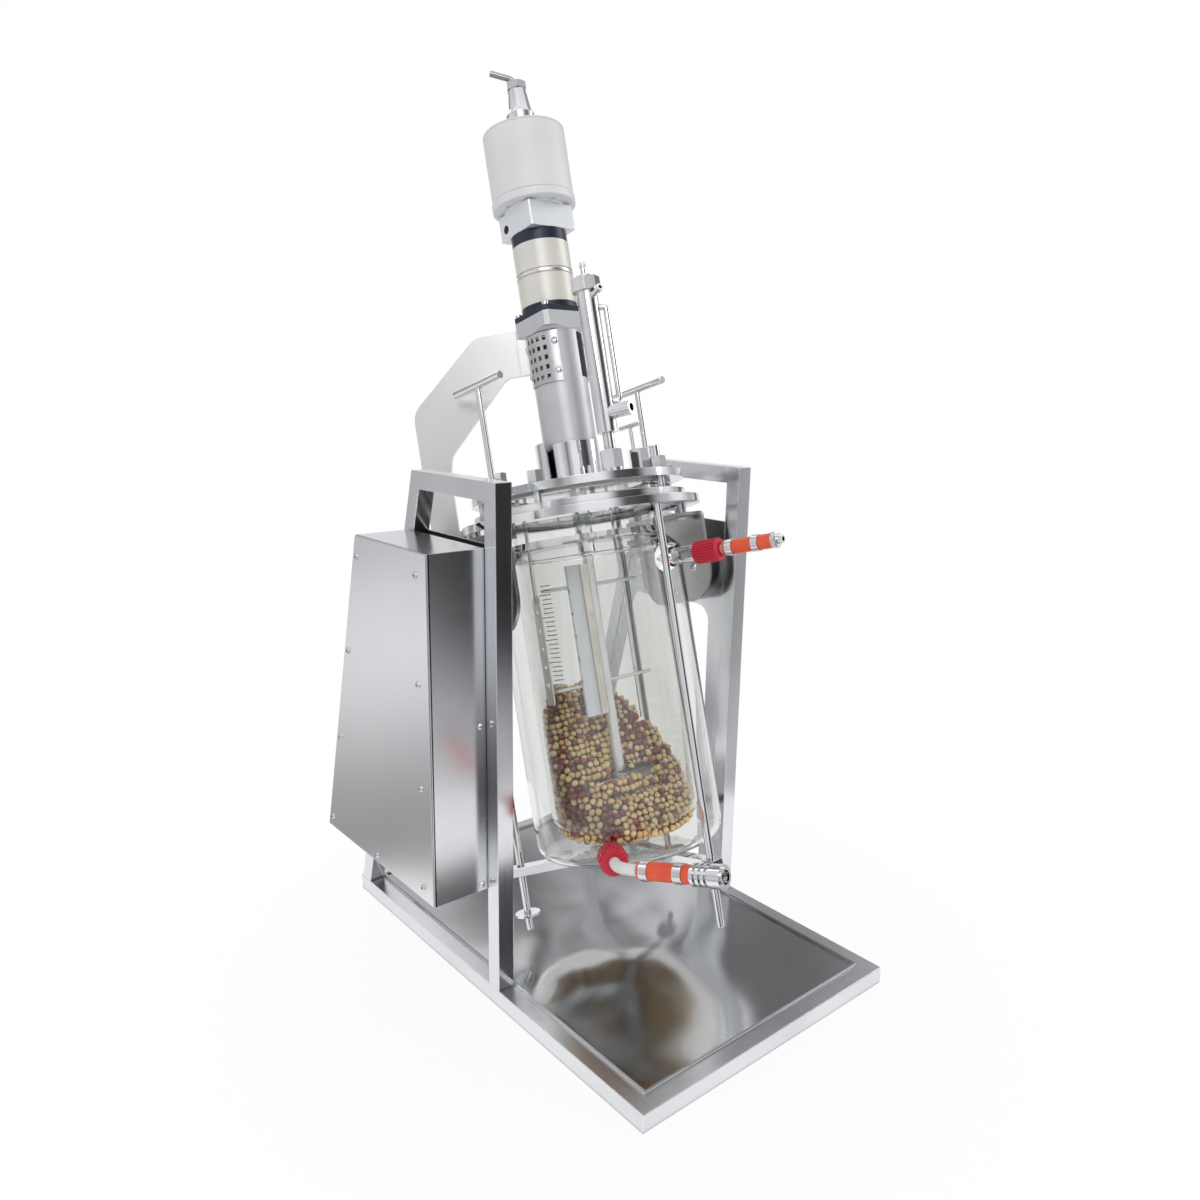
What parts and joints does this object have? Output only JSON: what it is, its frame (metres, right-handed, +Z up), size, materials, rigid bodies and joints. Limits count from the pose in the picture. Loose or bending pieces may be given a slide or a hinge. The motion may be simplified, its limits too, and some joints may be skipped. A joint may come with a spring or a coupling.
{
  "type": "bench bioreactor",
  "caption": "Tilting bench bioreactor for solid cultures: jacketed glass vessel with paddle agitator and top drive, hung on trunnions in a tubular steel stand with a tray.",
  "frame": {"origin": "underside of the base, in the middle of the cross tube between the two front posts", "axes": "+X to the operator's right, +Y to the rear of the base (the vessel's head leans that way), +Z up"},
  "size_m": [0.4211, 0.542, 0.9846],
  "materials": {
    "tube_steel": "polished",
    "mirror_sheet": "mirror polished",
    "satin_sheet": "satin brushed",
    "arm_sheet": "light satin",
    "bright_fastener": "bright",
    "chrome_turned": "polished",
    "bearing_steel": "ground",
    "drive_paint": "satin silver grey",
    "gear_case": "cast",
    "motor_case": "satin black",
    "cream_metal": "satin",
    "dark_metal": "satin",
    "cast_block": "bead blasted",
    "white_cover": "matt",
    "gland_metal": "satin",
    "dark_tube": "satin",
    "guard_sheet": "brushed",
    "clear_glass": "clear",
    "soft_seal": "matt",
    "red_cap": "satin",
    "white_polymer": "translucent",
    "orange_hose": "satin",
    "beans": "natural"
  },
  "bodies": {
    "stand": {"base_frame": "tube_steel", "base_tray": "mirror_sheet", "left_side_frame": "tube_steel", "right_side_frame": "tube_steel", "left_side_plate": "mirror_sheet", "right_side_plate": "mirror_sheet", "drive_box_shell": "satin_sheet", "drive_box_panel": "satin_sheet", "drive_box_screws": "bright_fastener", "tilt_gearbox": "gear_case", "tilt_motor": "motor_case", "trunnion_bearings": "bearing_steel"},
    "vessel": {"trunnions": "chrome_turned", "cradle_plates": "satin_sheet", "cradle_bolts": "bright_fastener", "carrier_ring": "chrome_turned", "clamp_ring": "chrome_turned", "glass_vessel": "clear_glass", "glass_jacket": "clear_glass", "flange_gasket": "soft_seal", "head_plate": "chrome_turned", "lid_bolts": "bright_fastener", "vessel_legs": "chrome_turned", "leg_spider": "chrome_turned", "vessel_pads": "soft_seal", "drive_collar": "chrome_turned", "shaft_bearings": "bearing_steel", "collar_shield": "chrome_turned", "lantern_housing": "drive_paint", "guard_plates": "guard_sheet", "drive_screws": "bright_fastener", "gearhead_ends": "dark_metal", "gearhead": "cream_metal", "adapter_block": "cast_block", "motor_can": "white_cover", "cable_gland": "gland_metal", "gland_tube": "dark_tube", "arm_plate": "arm_sheet", "condenser_body": "chrome_turned", "condenser_cap": "chrome_turned", "condenser_nut": "chrome_turned", "lid_handles": "chrome_turned", "port_plugs": "chrome_turned", "baffle_strip": "chrome_turned", "dip_tube": "chrome_turned", "bean_fill": "beans", "upper_port_cap": "red_cap", "upper_port_tube": "white_polymer", "upper_port_hose": "orange_hose", "upper_coupling": "chrome_turned", "lower_port_cap": "red_cap", "lower_port_tube": "white_polymer", "lower_port_hose": "orange_hose", "lower_coupling": "chrome_turned", "hose_clamps": "bright_fastener"},
    "agitator": {"agitator_shaft": "chrome_turned", "paddle": "white_polymer", "paddle_strip": "chrome_turned", "mixing_blade": "chrome_turned", "shaft_coupling": "bearing_steel"}
  },
  "joints": [
    {"name": "vessel_tilt", "type": "hinge", "parent": "stand", "child": "vessel", "pos_m": [0, 0.0633, 0.425], "axis": [-1, 0, 0], "range_deg": [-15, 75]},
    {"name": "agitator_spin", "type": "hinge", "parent": "vessel", "child": "agitator", "pos_m": [0, 0.0633, 0.425], "axis": [0, 0.2588, 0.9659], "continuous": true}
  ]
}
